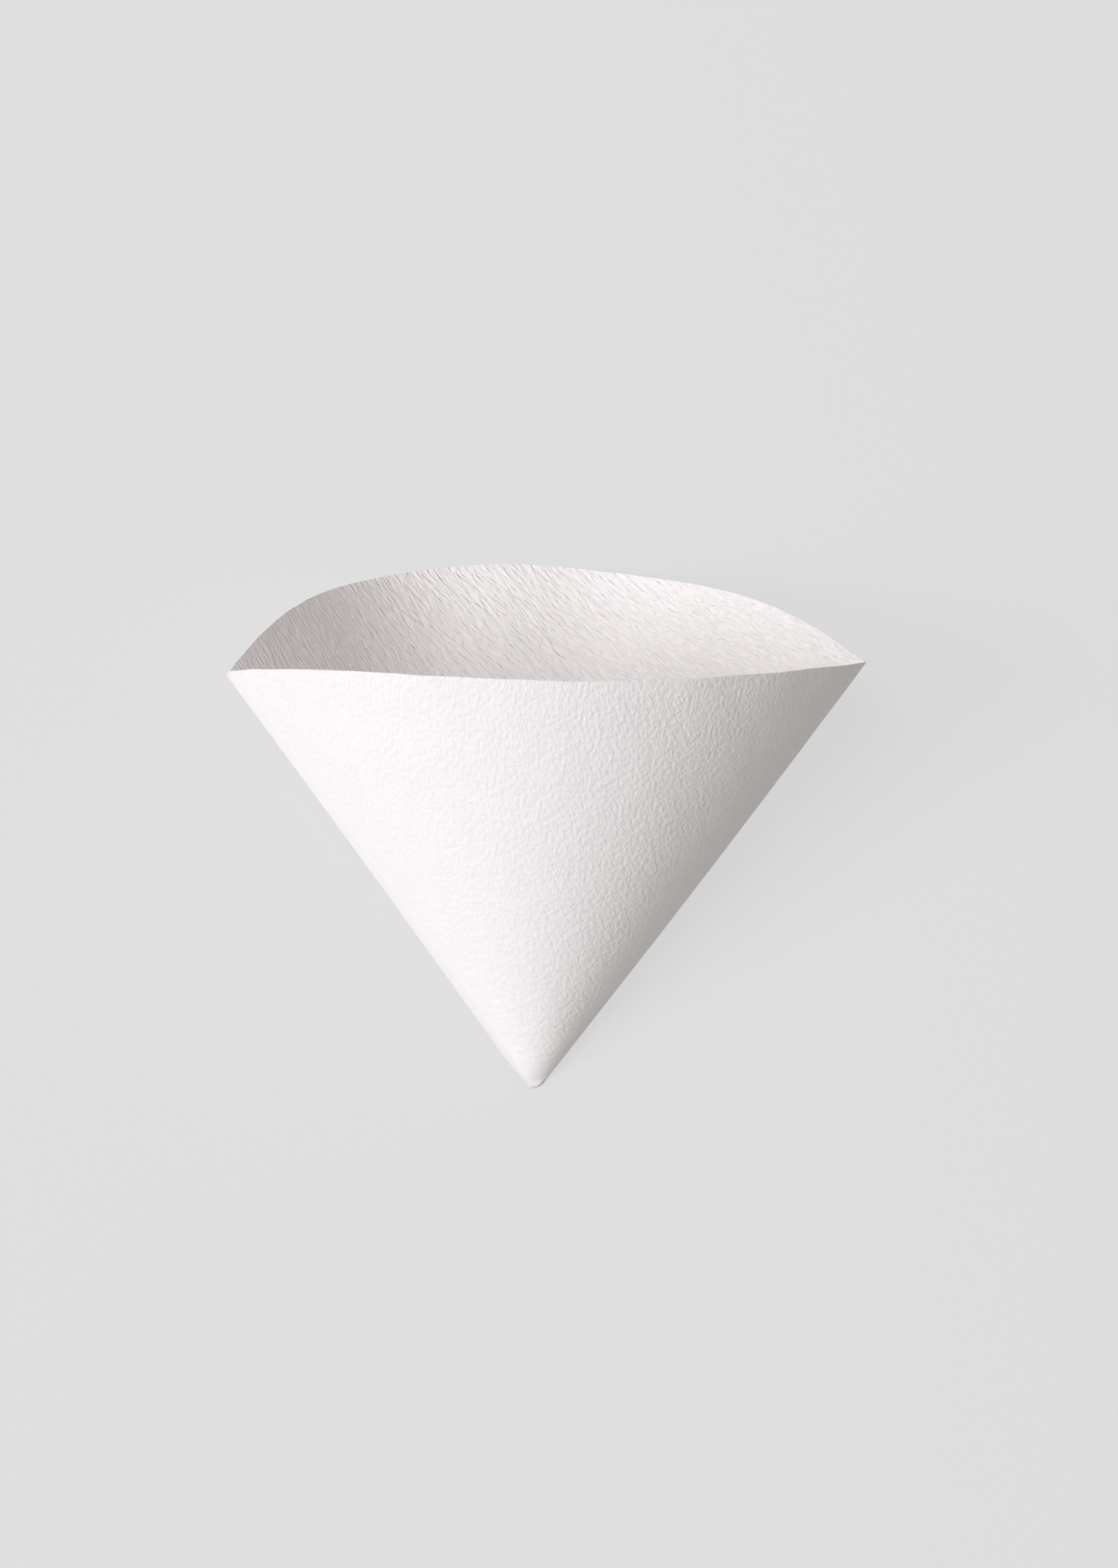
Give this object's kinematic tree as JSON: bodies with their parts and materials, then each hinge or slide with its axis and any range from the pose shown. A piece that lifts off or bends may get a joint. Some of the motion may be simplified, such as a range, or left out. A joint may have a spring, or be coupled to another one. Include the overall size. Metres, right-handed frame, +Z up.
{
  "type": "cone paper coffee filter",
  "caption": "Cone-shaped crepe paper coffee filter, opened for use: a folded half disc of sheet with a pressed side seam, a curved rim and a rounded closed tip.",
  "frame": {"origin": "on the surface it lies on, under the centre of its bounding box", "axes": "+Z up; X runs from the seam at -X to the fold at +X; +Y from the closed tip to the open mouth"},
  "size_m": [0.139, 0.1172, 0.0933],
  "materials": {
    "paper_cone": "matte white crepe paper"
  },
  "bodies": {
    "root": {"paper_cone": "paper_cone"}
  },
  "joints": []
}
